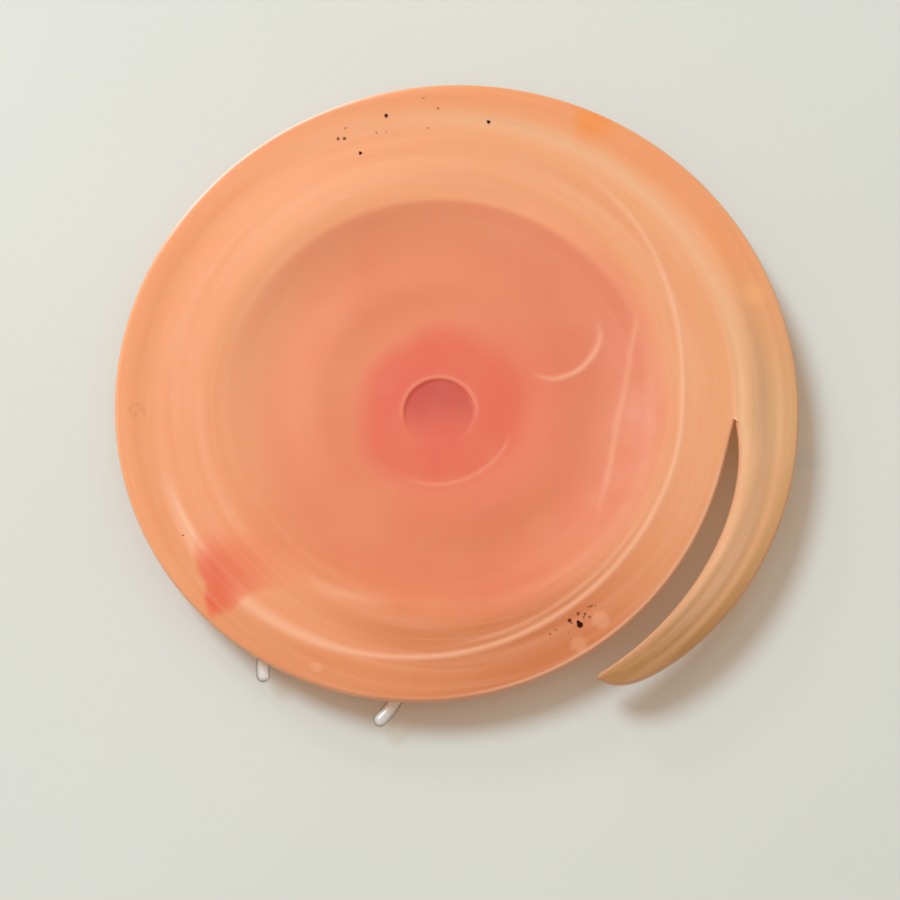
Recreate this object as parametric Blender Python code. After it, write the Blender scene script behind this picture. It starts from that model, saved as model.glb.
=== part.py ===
"""Round translucent cap: a shallow dish with a spiral rim, a flexing rim tail and a clear snap clip.

The axis of the dish is Z and its flat underside is z = 0. The rim's radius grows clockwise, seen from
above, by one pitch in a turn, and its free end runs on past the slit as the tail. Positions round the
cap are given in turns, clockwise from the slit's root.
"""
from math import cos, pi, radians, sin, sqrt, tau

import bmesh
import bpy
from mathutils import Vector

MM = 0.001

# Clearances
SEAT_GAP = 0.3 * MM        # between pieces that are pressed or bonded together
FLEX_GAP = 0.4 * MM        # at the root of a piece that bends

# Spiral rim
PITCH = 7.1 * MM           # growth of the rim radius in one turn
TERRACE = 2.5 * MM         # width of the terrace inside the step where the step starts
STEP_GROWTH = 4.8 * MM     # how far the step moves out in one turn
STEP_EASE = 2.6            # how early it does so
OVAL = 0.42 * MM           # the rim is slightly oval
OVAL_TURN = 0.359          # where the oval is widest
RIM_Z = 5.4 * MM           # top of the rim at the slit's root, and of the terrace
RAMP = 0.6 * MM            # rise of the rim over the terrace in one turn
RIM_T = 1.1 * MM           # rim thickness at the slit's root
RIM_CHAMFER = 0.3 * MM
STEP_RUN = 1.5 * MM        # width of the slope between the terrace and the rim

# Dish
WALL_R = 21.8 * MM         # inside of the wall at its top
WALL_LEAN = 3.2 * MM       # how far its inside leans out from the floor to its top
WALL_T = 0.4 * MM          # from its inside at the top to its outside under the rim
FOOT_LEAN = 0.8 * MM       # how far its outside draws in down to the foot
FLOOR_T = 3.4 * MM

# Collar and plug in the middle of the floor
COLLAR_R = 8.2 * MM
COLLAR_LIP = 1.0 * MM      # width of the lip under the floor
LIP_T = 0.7 * MM
COLLAR_SINK = 0.35 * MM    # collar top below the floor
PLUG_R = 3.7 * MM
PLUG_LIP = 0.9 * MM
PLUG_SINK = 0.35 * MM      # plug top below the collar

# Tail
SLIT_DEG = 5.0             # where the slit's root is, clockwise from +X
TAIL_END_DEG = 57.0        # angle from the slit's root to the tip
SLIT_ROOT = 0.4 * MM       # slit width at its root
SLIT_TIP = 2.4 * MM        # slit width at the tail's tip
SLIT_POWER = 0.45          # how early the slit opens
TIP_CURL = 4.3 * MM        # how far the tip turns in from the spiral
TIP_CURL_POWER = 4.2       # how late it does so
TIP_ROUND_DEG = 2.6        # length of the rounded tip

# Gusset under the rim
GUSSET_TURN = 0.372
GUSSET_W = 3.4 * MM
GUSSET_SETBACK = 0.9 * MM  # from the rim's edge
GUSSET_TOE = 0.9 * MM      # height at the rim end
GUSSET_HEEL = 2.9 * MM     # height at the wall

# Clip
CLIP_TURN = 0.2933         # where the clip sits under the rim
CLIP_R = 6.9 * MM          # middle of the wire
WIRE_R = 0.83 * MM
WIRE_TIP_R = 0.7 * MM
JAW_END_DEG = 117.0        # where each jaw's round tip is centred
SADDLE_DEG = 42.0          # half the arc that the saddle takes up
SADDLE_H = 2.4 * MM
SADDLE_WEB = 0.73 * MM     # thickness of the saddle in its middle
SADDLE_TAPER = 0.57 * MM   # how much each side draws in towards the wall

# Mesh fineness
RIM_STEPS = 96
TURNED_STEPS = 48
TAIL_STEPS = 22
TIP_STEPS = 5
JAW_STEPS = 10
WIRE_SIDES = 12
SADDLE_STEPS = 10
MERGE = 0.01 * MM          # turned points closer than this are one point

# Sizes that follow from the ones above
RIM_UNDER_Z = RIM_Z - RIM_T
STEP_R = WALL_R + TERRACE                          # where the step starts
ROOT_R = STEP_R + STEP_GROWTH + RIM_CHAMFER        # rim radius at the slit's root
TAIL_ROOT_R = ROOT_R + PITCH / 2
WALL_OUT_R = WALL_R + WALL_T
FLOOR_R = WALL_R - WALL_LEAN
FOOT_R = WALL_OUT_R - FOOT_LEAN
COLLAR_TOP = FLOOR_T - COLLAR_SINK
CLIP_INNER_R = CLIP_R - WIRE_R
CLIP_OUTER_R = CLIP_R + WIRE_R
SADDLE_BACK_R = WALL_OUT_R + SEAT_GAP
SADDLE_HALF_W = CLIP_OUTER_R * sin(radians(SADDLE_DEG)) - SADDLE_TAPER
CLIP_REACH = SADDLE_BACK_R + SADDLE_WEB + CLIP_INNER_R    # clip centre from the cap's axis
CLIP_Z = RIM_UNDER_Z - SEAT_GAP - SADDLE_H / 2


def rim_radius(turn):
    """Radius of the rim's edge; one turn further on, the edge is one pitch further out."""
    return ROOT_R + PITCH * turn + OVAL * cos(2 * tau * (turn - OVAL_TURN))


def step_radius(turn):
    """Foot of the slope from the terrace to the rim, which ends at the rim's edge at the slit's root."""
    end = rim_radius(0.0) - RIM_CHAMFER
    return STEP_R + (end - STEP_R) * (1 - (1 - turn) ** STEP_EASE)


def rim_top(turn):
    return RIM_Z + RAMP * turn


def polar(radius, angle, z):
    """Point at an angle clockwise from the slit's root, in radians."""
    angle += radians(SLIT_DEG)
    return Vector((radius * cos(angle), -radius * sin(angle), z))


def add_object(name, bm, material, smooth_deg=30.0):
    """Close the mesh up and put it in the scene under its name."""
    bmesh.ops.recalc_face_normals(bm, faces=bm.faces)
    mesh = bpy.data.meshes.new(name)
    bm.to_mesh(mesh)
    bm.free()
    mesh.shade_smooth()
    mesh.set_sharp_from_angle(angle=radians(smooth_deg))
    mesh.materials.append(material)
    obj = bpy.data.objects.new(name, mesh)
    bpy.context.scene.collection.objects.link(obj)
    return obj


def add_face(bm, corners):
    """A face on the distinct corners, none where the corners meet in a line."""
    distinct = list(dict.fromkeys(corners))
    if len(distinct) > 2:
        bm.faces.new(distinct)


def make_material(name, colour, roughness):
    material = bpy.data.materials.new(name)
    material.use_nodes = True
    shader = material.node_tree.nodes["Principled BSDF"]
    shader.inputs["Base Color"].default_value = (*colour, 1.0)
    shader.inputs["Roughness"].default_value = roughness
    shader.inputs["Metallic"].default_value = 0.0
    return material


def turned(name, profile, material):
    """A solid turned about Z from its outline, which is closed or ends on the axis."""
    bm = bmesh.new()
    points = [bm.verts.new((r, 0.0, z)) for r, z in profile]
    edges = [bm.edges.new(pair) for pair in zip(points, points[1:])]
    if profile[0][0] > 0:
        edges.append(bm.edges.new((points[-1], points[0])))
    bmesh.ops.spin(
        bm, geom=points + edges, cent=(0, 0, 0), axis=(0, 0, 1), angle=tau, steps=TURNED_STEPS
    )
    bmesh.ops.remove_doubles(bm, verts=bm.verts, dist=MERGE)
    return add_object(name, bm, material)


def body_section(turn):
    """The cap's cross-section at one turn, from the floor's hole over the top and back underneath.

    The terrace's edge, the step's foot and the step's head meet where the rim starts, at turn 0, so the
    section there is the last turn's section without its outer band.
    """
    bore = COLLAR_R + SEAT_GAP
    counterbore = COLLAR_R + COLLAR_LIP + SEAT_GAP
    edge = rim_radius(turn)
    top = rim_top(turn)
    foot = step_radius(turn)
    under = WALL_OUT_R + (ROOT_R - RIM_CHAMFER - WALL_OUT_R) * turn
    return {
        "bore_top": (bore, FLOOR_T),
        "floor_edge": (FLOOR_R, FLOOR_T),
        "wall_top": (WALL_R, RIM_Z),
        "terrace": (step_radius(0), RIM_Z),
        "step_foot": (foot, RIM_Z),
        "step_head": (foot + STEP_RUN * turn, top),
        "edge_top": (edge - RIM_CHAMFER, top),
        "edge_high": (edge, top - RIM_CHAMFER),
        "edge_low": (edge, RIM_UNDER_Z + RIM_CHAMFER),
        "edge_under": (edge - RIM_CHAMFER, RIM_UNDER_Z),
        "under": (under, RIM_UNDER_Z),
        "wall_out": (WALL_OUT_R, RIM_UNDER_Z),
        "foot": (FOOT_R, 0.0),
        "counterbore": (counterbore, 0.0),
        "ledge": (counterbore, LIP_T + SEAT_GAP),
        "bore": (bore, LIP_T + SEAT_GAP),
    }


def make_body(material):
    """The dish and its spiral rim, one closed skin over sections that grow round the cap."""
    bm = bmesh.new()
    names = list(body_section(0.0))
    sections = []
    for step in range(RIM_STEPS):
        turn = step / RIM_STEPS
        points = body_section(turn).items()
        sections.append({key: bm.verts.new(polar(r, tau * turn, z)) for key, (r, z) in points})
    first = sections[0]
    for key in ("step_foot", "step_head"):
        bm.verts.remove(first[key])
        first[key] = first["terrace"]
    bm.verts.remove(first["under"])
    first["under"] = first["wall_out"]

    # The last section is the first one again, with the outer band's end beyond it.
    last = dict(first)
    end = body_section(1.0)
    for key in ("step_head", "edge_top", "edge_high", "edge_low", "edge_under"):
        r, z = end[key]
        last[key] = bm.verts.new(polar(r, 0.0, z))
    last["step_foot"] = first["edge_top"]
    last["under"] = first["edge_under"]
    sections.append(last)

    for near, far in zip(sections, sections[1:]):
        for a, b in zip(names, names[1:] + names[:1]):
            add_face(bm, (near[a], near[b], far[b], far[a]))
    band_end = [last[key] for key in names[names.index("step_foot"):names.index("under") + 1]]
    bm.faces.new(band_end + [first["edge_low"], first["edge_high"]])
    return add_object("cap_body", bm, material)


def tail_edges(share):
    """Inner and outer radius of the tail at a share of its length, before the tip is rounded."""
    turn = share * TAIL_END_DEG / 360.0
    slit = SLIT_ROOT + (SLIT_TIP - SLIT_ROOT) * share ** SLIT_POWER
    return rim_radius(turn) + slit, rim_radius(turn + 1) - TIP_CURL * share ** TIP_CURL_POWER


def make_tail(material):
    """The rim's free end, a tapering band with a rounded tip."""
    bm = bmesh.new()
    start = FLEX_GAP / ROOT_R
    end = radians(TAIL_END_DEG)
    round_start = end - radians(TIP_ROUND_DEG)
    angles = [start + (round_start - start) * k / TAIL_STEPS for k in range(TAIL_STEPS)]
    angles += [round_start + (end - round_start) * sin(k / TIP_STEPS * pi / 2) for k in range(TIP_STEPS)]
    sections = []
    for angle in angles:
        inner, outer = tail_edges(angle / end)
        past = max(0.0, (angle - round_start) / (end - round_start))
        half = (outer - inner) / 2 * sqrt(1 - past * past)
        middle = (outer + inner) / 2
        chamfer = min(RIM_CHAMFER, half / 2)
        top = rim_top(1.0)
        outline = [
            (middle - half + chamfer, top),
            (middle + half - chamfer, top),
            (middle + half, top - RIM_CHAMFER),
            (middle + half, RIM_UNDER_Z + RIM_CHAMFER),
            (middle + half - chamfer, RIM_UNDER_Z),
            (middle - half + chamfer, RIM_UNDER_Z),
            (middle - half, RIM_UNDER_Z + RIM_CHAMFER),
            (middle - half, top - RIM_CHAMFER),
        ]
        sections.append([bm.verts.new(polar(r, angle, z)) for r, z in outline])
    for near, far in zip(sections, sections[1:]):
        for k in range(len(near)):
            add_face(bm, (near[k - 1], near[k], far[k], far[k - 1]))
    bm.faces.new(sections[0])
    bm.faces.new(sections[-1])
    return add_object("rim_tail", bm, material)


def make_collar(material):
    """The ring in the floor, held from below by its lip and bored for the plug."""
    bore = PLUG_R + SEAT_GAP
    counterbore = PLUG_R + PLUG_LIP + SEAT_GAP
    profile = [
        (bore, COLLAR_TOP),
        (COLLAR_R, COLLAR_TOP),
        (COLLAR_R, LIP_T),
        (COLLAR_R + COLLAR_LIP, LIP_T),
        (COLLAR_R + COLLAR_LIP, 0.0),
        (counterbore, 0.0),
        (counterbore, LIP_T + SEAT_GAP),
        (bore, LIP_T + SEAT_GAP),
    ]
    return turned("centre_collar", profile, material)


def make_plug(material):
    """The plug in the collar, held from below by its lip."""
    top = COLLAR_TOP - PLUG_SINK
    profile = [
        (0.0, top),
        (PLUG_R, top),
        (PLUG_R, LIP_T),
        (PLUG_R + PLUG_LIP, LIP_T),
        (PLUG_R + PLUG_LIP, 0.0),
        (0.0, 0.0),
    ]
    return turned("centre_plug", profile, material)


def make_gusset(material):
    """A web between the wall and the underside of the rim, deepest at the wall."""
    angle = tau * GUSSET_TURN
    outward = polar(1.0, angle, 0.0)
    across = Vector((-outward.y, outward.x, 0.0))
    half = GUSSET_W / 2
    # The wall bulges most at the web's middle, which sets the web's inner end.
    near = WALL_OUT_R + SEAT_GAP
    far = rim_radius(GUSSET_TURN) - GUSSET_SETBACK
    top = RIM_UNDER_Z - SEAT_GAP
    outline = [(near, top), (far, top), (far, top - GUSSET_TOE), (near, top - GUSSET_HEEL)]
    bm = bmesh.new()
    sides = []
    for side in (-half, half):
        sides.append([bm.verts.new(outward * r + across * side + Vector((0, 0, z))) for r, z in outline])
    for k in range(len(outline)):
        bm.faces.new((sides[0][k - 1], sides[0][k], sides[1][k], sides[1][k - 1]))
    bm.faces.new(sides[0])
    bm.faces.new(sides[1])
    return add_object("rim_gusset", bm, material)


def clip_point(radius, angle, z):
    """Point in the clip, at an angle from its back; a positive angle is on its right seen from outside."""
    outward = polar(1.0, tau * CLIP_TURN, 0.0)
    across = Vector((-outward.y, outward.x, 0.0))
    centre = outward * CLIP_REACH
    return centre - outward * radius * cos(angle) + across * radius * sin(angle) + Vector((0, 0, z))


def make_saddle(material):
    """The clip's back: hollow on the clip's side, and curved to the wall behind."""
    half = radians(SADDLE_DEG)
    wall_half = SADDLE_HALF_W / SADDLE_BACK_R
    shares = [2 * k / SADDLE_STEPS - 1 for k in range(SADDLE_STEPS + 1)]
    outline = [clip_point(CLIP_INNER_R, half * share, 0.0) for share in shares]
    outline.append(clip_point(CLIP_OUTER_R, half, 0.0))
    for share in shares:
        outline.append(polar(SADDLE_BACK_R, tau * CLIP_TURN + wall_half * share, 0.0))
    outline.append(clip_point(CLIP_OUTER_R, -half, 0.0))
    bm = bmesh.new()
    rows = []
    for z in (CLIP_Z - SADDLE_H / 2, CLIP_Z + SADDLE_H / 2):
        rows.append([bm.verts.new(point + Vector((0, 0, z))) for point in outline])
    for k in range(len(outline)):
        bm.faces.new((rows[0][k - 1], rows[0][k], rows[1][k], rows[1][k - 1]))
    bm.faces.new(rows[0])
    bm.faces.new(rows[1])
    return add_object("clip_saddle", bm, material)


def make_jaw(name, side, material):
    """One arm of the clip: a round wire along the clip's circle, with a round tip."""
    root = radians(SADDLE_DEG) + FLEX_GAP / CLIP_R
    end = radians(JAW_END_DEG)
    stations = []
    for k in range(JAW_STEPS + 1):
        share = k / JAW_STEPS
        stations.append((root + (end - root) * share, WIRE_R + (WIRE_TIP_R - WIRE_R) * share))
    for k in range(1, TIP_STEPS):
        round_angle = k / TIP_STEPS * pi / 2
        stations.append((end + WIRE_TIP_R * sin(round_angle) / CLIP_R, WIRE_TIP_R * cos(round_angle)))
    bm = bmesh.new()
    rings = []
    for angle, wire in stations:
        ring = []
        for k in range(WIRE_SIDES):
            turn = tau * k / WIRE_SIDES
            point = clip_point(CLIP_R + wire * cos(turn), side * angle, CLIP_Z + wire * sin(turn))
            ring.append(bm.verts.new(point))
        rings.append(ring)
    for near, far in zip(rings, rings[1:]):
        for k in range(WIRE_SIDES):
            bm.faces.new((near[k - 1], near[k], far[k], far[k - 1]))
    bm.faces.new(rings[0])
    bm.faces.new(rings[-1])
    return add_object(name, bm, material)


def hang_on(name, point, children):
    """Parent pieces to an empty on their joint's axis, leaving them where they are."""
    empty = bpy.data.objects.new(name, None)
    empty.location = point
    bpy.context.scene.collection.objects.link(empty)
    bpy.context.view_layer.update()
    for child in children:
        child.parent = empty
        child.matrix_parent_inverse = empty.matrix_world.inverted()


def main():
    for obj in list(bpy.data.objects):
        bpy.data.objects.remove(obj)

    coral = make_material("coral_translucent", (0.85, 0.33, 0.17), 0.42)
    coral_thick = make_material("coral_thick", (0.80, 0.19, 0.12), 0.42)
    coral_core = make_material("coral_core", (0.69, 0.12, 0.08), 0.40)
    clear = make_material("clear_plastic", (0.86, 0.86, 0.84), 0.12)

    make_body(coral)
    tail = make_tail(coral)
    make_collar(coral_thick)
    make_plug(coral_core)
    make_gusset(coral_thick)
    make_saddle(clear)
    left = make_jaw("clip_jaw_left", -1, clear)
    right = make_jaw("clip_jaw_right", 1, clear)

    root_z = (rim_top(1.0) + RIM_UNDER_Z) / 2
    hang_on("tail_hinge", polar(TAIL_ROOT_R, 0.0, root_z), [tail])
    for name, side, jaw in (("left_jaw_hinge", -1, left), ("right_jaw_hinge", 1, right)):
        hang_on(name, clip_point(CLIP_R, side * radians(SADDLE_DEG), CLIP_Z), [jaw])


main()
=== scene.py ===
# Looks of the round translucent cap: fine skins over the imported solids, milky coral plastic and a
# clear clip. Lengths are in millimetres until a mesh is made. Places round the cap are in turns,
# clockwise from the slit's root, as in the construction.
from math import cos, pi, radians, sin, tau

import bmesh
import bpy
import numpy as np
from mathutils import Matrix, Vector


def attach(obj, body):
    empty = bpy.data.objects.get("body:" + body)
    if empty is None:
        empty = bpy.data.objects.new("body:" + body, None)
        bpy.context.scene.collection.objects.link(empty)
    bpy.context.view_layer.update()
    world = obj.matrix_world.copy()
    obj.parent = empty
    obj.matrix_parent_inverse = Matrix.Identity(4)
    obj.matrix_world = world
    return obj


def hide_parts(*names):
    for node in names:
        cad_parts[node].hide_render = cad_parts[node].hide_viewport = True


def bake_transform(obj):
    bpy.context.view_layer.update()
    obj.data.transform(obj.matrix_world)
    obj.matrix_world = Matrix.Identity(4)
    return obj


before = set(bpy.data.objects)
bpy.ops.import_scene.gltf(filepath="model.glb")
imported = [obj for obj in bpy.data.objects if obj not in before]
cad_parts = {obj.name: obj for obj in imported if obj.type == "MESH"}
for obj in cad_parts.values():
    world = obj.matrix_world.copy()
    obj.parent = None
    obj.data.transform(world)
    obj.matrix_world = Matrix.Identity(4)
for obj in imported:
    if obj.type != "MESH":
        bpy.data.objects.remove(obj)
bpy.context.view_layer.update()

MM = 0.001

# Sizes of the construction
PITCH = 7.1
TERRACE = 2.5
STEP_GROWTH = 4.8
STEP_EASE = 2.6
OVAL = 0.42
OVAL_TURN = 0.359
RIM_Z = 5.4
RAMP = 0.6
RIM_T = 1.1
RIM_CHAMFER = 0.3
WALL_R = 21.8
WALL_LEAN = 3.2
WALL_T = 0.4
FOOT_LEAN = 0.8
FLOOR_T = 3.4
COLLAR_R = 8.2
COLLAR_LIP = 1.0
LIP_T = 0.7
COLLAR_SINK = 0.35
PLUG_R = 3.7
PLUG_LIP = 0.9
SLIT_DEG = 5.0
TAIL_END_DEG = 57.0
GUSSET_TURN = 0.372
GUSSET_W = 3.4
GUSSET_SETBACK = 0.9
GUSSET_TOE = 0.9
GUSSET_HEEL = 2.9
CLIP_TURN = 0.2933
CLIP_R = 6.9
WIRE_R = 0.83
WIRE_TIP_R = 0.7
JAW_END_DEG = 117.0
SADDLE_DEG = 42.0
SADDLE_H = 2.4
SADDLE_WEB = 0.73
SADDLE_TAPER = 0.57
SEAT_GAP = 0.3

# Sizes that only the skins have
HAIR = 0.01  # gap between skins that are pressed together
RING_HAIR = 0.003  # the same round the collar and the plug
EDGE_INSET = 0.02  # the skins' finer curves stay this far inside the solids' corners
RIM_ROUND = 0.35  # how far the rounded edge of the rim reaches in
STEP_RUN = 3.2  # width of the slope from the terrace up to the rim at the slit
STEP_WIDE_TURN = 0.7  # up to this turn the slope is as wide as the whole band
WALL_SOFT = 0.9  # how far the wall's curves reach into the floor and the terrace
WALL_START = 3.4  # width of the curve from the floor up to the wall
FOOT_ROUND = 0.5
UNDER_FILLET = 0.8
FLOOR_DIP = 5.0  # width of the slope from the floor down to the collar
SLIT_W = 2.2  # width that the slit opens to
SLIT_OPEN = 0.15  # share of the tail's length in which it opens
APEX_OUT = 0.75  # how far the cap's edge swings out to meet the tail at the slit's root
APEX_TURN = 0.016  # turns in which it swings back
TIP_CURL = 2.7  # how far the tail narrows along its length
TIP_CURL_POWER = 3.0
TIP_TURN_IN = 1.7  # how far its end turns in besides
TIP_TURN_IN_POWER = 25.0
TIP_SQUEEZE = 0.25  # share of its width that is left at the very tip
TAIL_FREE = 0.02  # share of its length in which its inner edge turns from hollow to round
NARROW_ROUND = 0.3  # where the tail is narrow, its edges take this share of its width
NARROW_RUN = 0.6  # and its slope this share
TIP_ROUND = 0.02  # share of the tail's length that its rounded tip takes
RECESS_R = 3.77  # the recess in the centre
RECESS_EDGE = 0.4  # width of its edge
RECESS_DEPTH = 0.2  # at its far side
GUSSET_CURVE = 1.4  # power of the curve of the gusset's lower edge
GUSSET_BEVEL = 0.25
SADDLE_BEVEL = 0.18
JAW_BEND_DEG = 24.0  # part of a jaw's arc over which it bends at its root

# Fineness of the skins
STATIONS = 480
FLOOR_POINTS = 56
BAND_POINTS = 40
UNDER_POINTS = 14
EDGE_POINTS = 9
WALL_POINTS = 20
TAIL_STATIONS = 150
TAIL_CROWDING = 1.6  # power that crowds the tail's stations towards its root
TURNED_STEPS = 240
COLLAR_POINTS = 42
PLUG_POINTS = 34
GUSSET_STEPS = 12
SADDLE_POINTS = 25
JAW_STATIONS = 40
JAW_TIP_STATIONS = 12
WIRE_SIDES = 28
BEVEL_SEGMENTS = 3

# Camera, and its focal length in pixels of the 900 x 900 picture
CAMERA = np.array((1.13, -50.19, 159.5))
AIM = np.array((1.13, -6.09, 5.7))
PICTURE = 900.0
FOCAL = 1600.0
SENSOR = 36.0
PIXEL = 0.1  # a pixel of the picture on the cap
RIM_PIXEL = 0.098  # a pixel of the picture on the rim, which is nearer

# Pixels of the photo: marks and lines on the cap. A speck also has its radius and how dark it is.
SPECKS_PX = (
    (386.2, 115.2, 1.9, 1.0), (360.2, 151.8, 1.7, 1.0), (337.8, 137.5, 1.6, 0.8), (344.5, 137.5, 1.9, 0.8),
    (345.5, 127.5, 1.2, 0.5), (376.3, 131.4, 1.2, 0.6), (386.2, 129.8, 1.0, 0.4), (428.5, 126.6, 1.2, 0.6),
    (438.3, 108.0, 1.2, 0.7), (488.5, 121.0, 1.9, 1.0), (423.5, 98.5, 1.1, 0.35), (182.7, 535.0, 1.1, 0.7),
    (580.2, 624.5, 2.8, 1.0), (578.8, 621.7, 1.8, 1.0), (570.0, 620.0, 1.8, 0.9), (571.9, 622.6, 1.1, 0.6),
    (578.3, 613.0, 1.6, 0.7), (585.3, 613.7, 1.3, 0.7), (584.0, 616.6, 1.2, 0.6), (589.7, 616.3, 1.1, 0.6),
    (591.7, 605.4, 1.4, 0.6), (588.8, 606.0, 1.1, 0.4), (595.8, 604.5, 0.9, 0.4), (550.5, 633.5, 1.0, 0.5),
    (556.0, 629.0, 0.9, 0.4), (568.7, 632.5, 0.8, 0.4),
)
STAIN_PX = (137, 411)
ORANGE_PATCH_PX = (593, 122)
ORANGE_EDGE_PX = (574, 122)
LIGHT_SPOT_PX = (754, 295)
RECESS_PX = (439.3, 412.5)
ZONE_PX = (435.6, 407)
CRESCENT_PX = ((599, 325), (600, 341), (593, 356), (578, 371), (555, 379), (537, 375))
SCRATCH_PX = ((636, 320), (630, 353), (624, 392), (616, 430), (608, 476), (598, 510), (593, 548))
FLOOR_ARC_PX = ((302, 573), (327, 591), (361, 601), (399, 608))
RED_EDGE_PX = ((192, 552), (198, 572), (205, 582), (204, 599), (207, 611))
RED_LOW_EDGE_PX = ((196, 621), (214, 617), (232, 610), (243, 599), (256, 592), (280, 588))
RED_SPOTS_PX = ((238, 572, 38, 0.60), (212, 566, 24, 0.85), (210, 586, 18, 0.8), (216, 600, 20, 1.0))
PALE_DOTS_PX = ((601, 619, 9), (579, 644, 8), (316, 667, 5))

# Heights at which the photo's marks lie
ON_FLOOR = FLOOR_T
ON_RIM = 5.7

# Screen colours, set by comparing renders with the photo
RIM_RGB = (238, 157, 103)
# Deeper rim colour: painted shade on the near side, and also the colour of the plastic's dull streaks
RIM_SHADE_AND_DULL_RGB = (207, 117, 66)
TERRACE_RGB = (241, 158, 111)
# Paler terrace colour, also laid on the wall as painted light
TERRACE_FAR_RGB = (254, 176, 129)
PALE_RGB = (240, 184, 140)
FLOOR_RGB = (231, 137, 98)
FLOOR_LOW_RGB = (221, 121, 84)
FLOOR_LEFT_RGB = (241, 156, 116)
FLOOR_RIGHT_RGB = (226, 130, 97)
CENTRE_RGB = (230, 107, 83)
RECESS_SHADE_RGB = (205, 80, 68)
TAIL_RGB = (212, 162, 110)
TAIL_END_SHADE_RGB = (162, 113, 54)
GROOVE_RGB = (201, 152, 112)
RED_RGB = (230, 94, 57)
ORANGE_RGB = (242, 142, 46)
LINE_RGB = (252, 192, 156)
SPOT_RGB = (246, 178, 118)
SPECK_RGB = (58, 16, 6)
GLEAM_RGB = (255, 240, 226)
STAIN_RGB = (196, 118, 76)
TABLE_RGB = (222, 224, 217)

# Looks of the plastics and the room
CORAL_GLOSS = 0.3
SPECK_GLOSS = 0.02
SPREAD_WEIGHT = 0.4  # how much of the light spreads under the coral's surface
SPREAD_RADIUS = (1.0, 0.5, 0.35)
SPREAD_SCALE = 0.0015
CORAL_SHADOW = (0.54, 0.31, 0.05)  # lamp light that passes through
CLEAR_SHADOW = (0.80, 0.76, 0.70)
# Painted highlight in the clip's middle and painted dark refraction at its outlines
CLEAR_CORE_HIGHLIGHT = (0.98, 0.98, 0.97, 1.0)
CLEAR_OUTLINE_SHADE = (0.30, 0.26, 0.21, 1.0)
CLEAR_IOR = 1.49
ROOM_COLOUR = (1.0, 0.965, 0.875, 1.0)
ROOM_SEEN = 0.8  # strength of the room as the eye, gloss and clear plastic see it
RAGGED = 0.00015  # how far a speck's edge is pulled about, in metres
FLAT = (1.0, 1.0, 0.0)  # leaves the height out of a place

# Heights of the moulded lines, and how strongly each is drawn
RELIEF = {"crescent": 0.08, "scratch": 0.04, "arc": 0.03, "flow": 0.06, "groove": -0.10}
FLOOR_LINES = {"crescent": 0.6, "scratch": 0.3, "arc": 0.35}
STEP_LINES = {"flow": 0.65, "step": 0.75}

# Turns at which a line or a colour starts, is full, begins to fade and is gone
FLOW_TURNS = (0.80, 0.88, 1.38, 1.46)
SECOND_FLOW_TURNS = (1.04, 1.10, 1.18, 1.26)
STEP_LINE_TURNS = (0.36, 0.39, 0.41, 0.44)
PALE_TURNS = (0.60, 0.80, 1.02, 1.16)
LIP_TURNS = (0.66, 0.80, 0.99, 1.03)
SHADED_TURNS = (0.36, 0.46, 0.80, 0.92)
COLLAR_EDGE_TURNS = (0.04, 0.10, 0.24, 0.32)
NEAR_LINE_TURNS = (0.01, 0.04, 0.18, 0.28)
GLEAM_TURNS = (0.55, 0.60, 0.67, 0.73)

# Turns about which a colour lies, and how far it reaches to both sides
NEAR_RIGHT = (0.18, 0.095)
NEAR = (0.23, 0.07)
NEAR_LEFT = (0.32, 0.06)
LEFT = (0.49, 0.09)
FAR_LEFT = (0.64, 0.10)

# Half-widths of the lines, and how far some lie from the edge that they follow
CRESCENT_W = 0.30
SCRATCH_W = 0.28
ARC_W = 0.6
FLOW_W = 0.30
FLOW_WIDER = 0.35  # at its near end
SECOND_FLOW_W = 0.25
SECOND_FLOW_IN = 0.85
STEP_LINE_W = 0.28
COLLAR_EDGE_W = 0.22
RIDGE_W = 0.2
RIDGE_OUT = 0.15
RIM_LINE_W = 0.25
TAIL_LINE_W = 0.22
NEAR_LINE_W = 0.15
NEAR_LINE_IN = 0.26
GLEAM_W = 0.16
GLEAM_IN = 0.28

# Lines along the tail: share of the way across it, half-width and strength
GROOVE = (0.42, 0.13, 1.0)
STRIPES = ((0.10, 0.09, 1.0), (0.68, 0.08, 0.8))

# Sizes that follow from the ones above
RIM_UNDER_Z = RIM_Z - RIM_T
STEP_R = WALL_R + TERRACE
ROOT_R = STEP_R + STEP_GROWTH + RIM_CHAMFER
FLOOR_R = WALL_R - WALL_LEAN
WALL_OUT_R = WALL_R + WALL_T
FOOT_R = WALL_OUT_R - FOOT_LEAN
COLLAR_TOP = FLOOR_T - COLLAR_SINK
CLIP_INNER_R = CLIP_R - WIRE_R
CLIP_OUTER_R = CLIP_R + WIRE_R
SADDLE_BACK_R = WALL_OUT_R + SEAT_GAP
SADDLE_HALF_W = CLIP_OUTER_R * sin(radians(SADDLE_DEG)) - SADDLE_TAPER
CLIP_REACH = SADDLE_BACK_R + SADDLE_WEB + CLIP_INNER_R
CLIP_Z = RIM_UNDER_Z - SEAT_GAP - SADDLE_H / 2


# Curves and places

def rim_radius(turn):
    return ROOT_R + PITCH * turn + OVAL * np.cos(2 * tau * (turn - OVAL_TURN))


def body_edge(turn):
    """The cap's edge, which swings out to the tail where the slit starts."""
    return rim_radius(turn) - EDGE_INSET + APEX_OUT * np.exp(-turn / APEX_TURN)


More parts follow.
